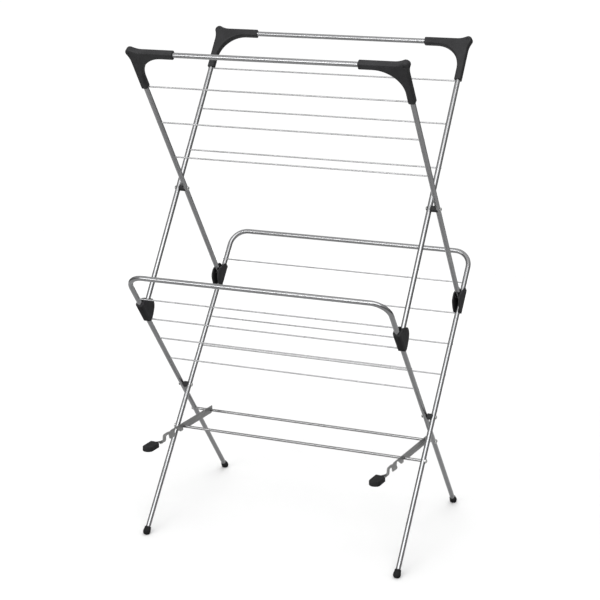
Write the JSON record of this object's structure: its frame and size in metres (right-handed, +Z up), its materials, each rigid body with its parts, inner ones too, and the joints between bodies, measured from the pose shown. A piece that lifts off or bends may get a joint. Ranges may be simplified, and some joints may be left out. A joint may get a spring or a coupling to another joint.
{
  "type": "clothes drying rack",
  "caption": "Folding two-tier clothes drying rack: crossed steel tube frames, hanging bars, moulded corners and link connectors, and lock hooks with black grips.",
  "frame": {"origin": "on the floor under the middle of the rack's overall box", "axes": "+Z up, +Y towards the back, X along the hanging bars"},
  "size_m": [0.754, 0.6082, 1.2808],
  "materials": {
    "silver_tube": "satin silver powder coat over round steel tube",
    "wire": "silver coated steel wire, slightly glossier than the tubes",
    "rod_steel": "plated round rod",
    "zinc_hardware": "zinc plated rivets, pins and rod heads",
    "hook_steel": "pressed strip steel, dull grey plating",
    "charcoal_plastic": "moulded charcoal plastic with a fine grain",
    "black_plastic": "moulded black plastic, slightly softer than the corners"
  },
  "bodies": {
    "back_hoop_frame": {"back_hoop_tube": "silver_tube", "back_hoop_wire_1": "wire", "back_hoop_wire_2": "wire", "back_hoop_wire_3": "wire", "back_hoop_wire_4": "wire", "front_cross_rod": "rod_steel", "front_cross_rod_heads": "zinc_hardware", "front_foot_left": "black_plastic", "front_foot_right": "black_plastic", "lower_pivot_rivet_left": "zinc_hardware", "lower_pivot_rivet_right": "zinc_hardware", "lower_pivot_spacer_left": "charcoal_plastic", "lower_pivot_spacer_right": "charcoal_plastic", "back_connector_left": "black_plastic", "back_connector_right": "black_plastic", "back_connector_pin_left": "zinc_hardware", "back_connector_pin_right": "zinc_hardware"},
    "front_hoop_frame": {"front_hoop_tube": "silver_tube", "front_hoop_wire_1": "wire", "front_hoop_wire_2": "wire", "front_hoop_wire_3": "wire", "front_hoop_wire_4": "wire", "back_cross_rod": "rod_steel", "back_cross_rod_heads": "zinc_hardware", "back_foot_left": "black_plastic", "back_foot_right": "black_plastic", "front_connector_left": "black_plastic", "front_connector_right": "black_plastic", "front_connector_pin_left": "zinc_hardware", "front_connector_pin_right": "zinc_hardware"},
    "back_rail_frame": {"back_rail_leg_left": "silver_tube", "back_rail_leg_right": "silver_tube", "back_rail_tube": "silver_tube", "back_rail_corner_left": "charcoal_plastic", "back_rail_corner_right": "charcoal_plastic", "back_rail_wire_1": "wire", "back_rail_wire_2": "wire", "back_rail_wire_3": "wire"},
    "front_rail_frame": {"front_rail_leg_left": "silver_tube", "front_rail_leg_right": "silver_tube", "front_rail_tube": "silver_tube", "front_rail_corner_left": "charcoal_plastic", "front_rail_corner_right": "charcoal_plastic", "front_rail_wire_1": "wire", "front_rail_wire_2": "wire", "front_rail_wire_3": "wire", "upper_pivot_rivet_left": "zinc_hardware", "upper_pivot_rivet_right": "zinc_hardware", "upper_pivot_spacer_left": "charcoal_plastic", "upper_pivot_spacer_right": "charcoal_plastic"},
    "lock_hook_left": {"lock_hook_left": "hook_steel", "lock_grip_left": "black_plastic"},
    "lock_hook_right": {"lock_hook_right": "hook_steel", "lock_grip_right": "black_plastic"}
  },
  "joints": [
    {"name": "fold", "type": "hinge", "parent": "back_hoop_frame", "child": "front_hoop_frame", "pos_m": [0, 0, 0.335], "axis": [-1, 0, 0], "range_deg": [0, 65]},
    {"name": "back_connector_hinge", "type": "hinge", "parent": "back_hoop_frame", "child": "front_rail_frame", "pos_m": [0, 0.19309, 0.60753], "axis": [-1, 0, 0], "range_deg": [0, 65]},
    {"name": "front_connector_hinge", "type": "hinge", "parent": "front_hoop_frame", "child": "back_rail_frame", "pos_m": [0, -0.19309, 0.60753], "axis": [1, 0, 0], "range_deg": [0, 65]},
    {"name": "hook_left_lift", "type": "hinge", "parent": "front_hoop_frame", "child": "lock_hook_left", "pos_m": [-0.313, 0.07511, 0.24141], "axis": [-1, 0, 0], "range_deg": [0, 40]},
    {"name": "hook_right_lift", "type": "hinge", "parent": "front_hoop_frame", "child": "lock_hook_right", "pos_m": [0.318, 0.07511, 0.24141], "axis": [-1, 0, 0], "range_deg": [0, 40]}
  ],
  "couplings": [
    {"joint": "back_connector_hinge", "follows": "fold", "ratio": 1},
    {"joint": "front_connector_hinge", "follows": "fold", "ratio": 1}
  ]
}
